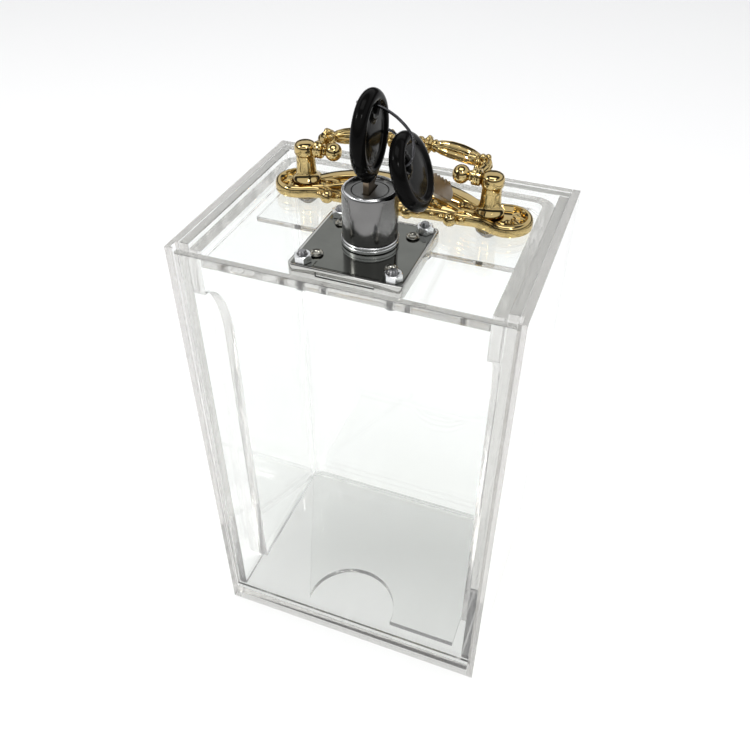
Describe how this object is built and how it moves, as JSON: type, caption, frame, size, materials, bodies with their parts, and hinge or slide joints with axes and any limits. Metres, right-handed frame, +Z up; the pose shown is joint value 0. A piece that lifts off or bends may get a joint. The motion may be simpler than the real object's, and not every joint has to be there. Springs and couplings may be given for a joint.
{
  "type": "lockable clear box",
  "caption": "Clear acrylic box with a front door that slides up, a key lock on its lid and a gilt bail handle.",
  "frame": {"origin": "middle of the footprint, at the underside of the base", "axes": "+X to the right seen from the front, the sliding door faces -Y, +Z up"},
  "size_m": [0.124, 0.09, 0.2556],
  "materials": {
    "clear_acrylic": "polished clear cast acrylic",
    "polished_gold": "bright gold plate on a casting",
    "satin_chrome": "satin chrome plate",
    "bright_chrome": "bright nickel-chrome plate",
    "zinc_steel": "zinc-plated steel",
    "key_metal": "nickel-plated brass, cut edges",
    "black_plastic": "moulded, half gloss"
  },
  "bodies": {
    "box": {"left_side_wall": "clear_acrylic", "right_side_wall": "clear_acrylic", "back_wall": "clear_acrylic", "base_plate_lower": "clear_acrylic", "base_plate_upper": "clear_acrylic", "left_inner_wall": "clear_acrylic", "right_inner_wall": "clear_acrylic", "back_inner_wall": "clear_acrylic", "card_liner": "clear_acrylic", "card_floor": "clear_acrylic", "lid": "clear_acrylic", "lid_stiffener": "clear_acrylic", "lock_case": "bright_chrome", "lock_cover": "zinc_steel", "lock_barrel": "satin_chrome", "lock_screw_front_left": "zinc_steel", "lock_screw_front_right": "zinc_steel", "lock_screw_rear_left": "zinc_steel", "lock_screw_rear_right": "zinc_steel", "lock_nut_front_left": "bright_chrome", "lock_nut_front_right": "bright_chrome", "lock_nut_rear_left": "bright_chrome", "lock_nut_rear_right": "bright_chrome", "case_rivet_front_left": "bright_chrome", "case_rivet_front_right": "bright_chrome", "case_rivet_rear_left": "bright_chrome", "case_rivet_rear_right": "bright_chrome", "handle_plate": "polished_gold", "handle_post_left": "polished_gold", "handle_post_right": "polished_gold", "pivot_pin_left": "polished_gold", "pivot_pin_right": "polished_gold", "handle_screw_left": "zinc_steel", "handle_screw_right": "zinc_steel", "handle_washer_left": "zinc_steel", "handle_washer_right": "zinc_steel"},
    "door": {"front_door": "clear_acrylic"},
    "plug": {"lock_plug": "satin_chrome", "lock_cam": "zinc_steel"},
    "bolt": {"lock_bolt": "satin_chrome"},
    "key": {"key_bow": "black_plastic", "key_blade": "key_metal"},
    "ring": {"key_ring": "zinc_steel"},
    "spare_key": {"spare_key_bow": "black_plastic", "spare_key_blade": "key_metal"},
    "bail": {"handle_bail": "polished_gold"}
  },
  "joints": [
    {"name": "door_slide", "type": "slide", "parent": "box", "child": "door", "axis": [0, 0, 1], "range_m": [0, 0.195]},
    {"name": "plug_turn", "type": "hinge", "parent": "box", "child": "plug", "pos_m": [0.0015, -0.0168, 0.21], "axis": [0, 0, 1], "range_deg": [-90, 0]},
    {"name": "bolt_slide", "type": "slide", "parent": "box", "child": "bolt", "axis": [0, -1, 0], "range_m": [0, 0.0046]},
    {"name": "key_pull", "type": "slide", "parent": "plug", "child": "key", "axis": [0, 0, 1], "range_m": [0, 0.026]},
    {"name": "ring_swing", "type": "hinge", "parent": "key", "child": "ring", "pos_m": [0.0015, -0.0168, 0.2508], "axis": [0, 1, 0], "range_deg": [-12, 0]},
    {"name": "spare_key_swing", "type": "hinge", "parent": "ring", "child": "spare_key", "pos_m": [0.01423, -0.02436, 0.23711], "axis": [0, 1, 0], "range_deg": [-20, 0]},
    {"name": "bail_swing", "type": "hinge", "parent": "box", "child": "bail", "pos_m": [-0.0019, 0.0175, 0.2164], "axis": [1, 0, 0], "range_deg": [0, 85]}
  ],
  "couplings": [
    {"joint": "bolt_slide", "follows": "plug_turn", "m_per_rad": -0.0028648}
  ]
}
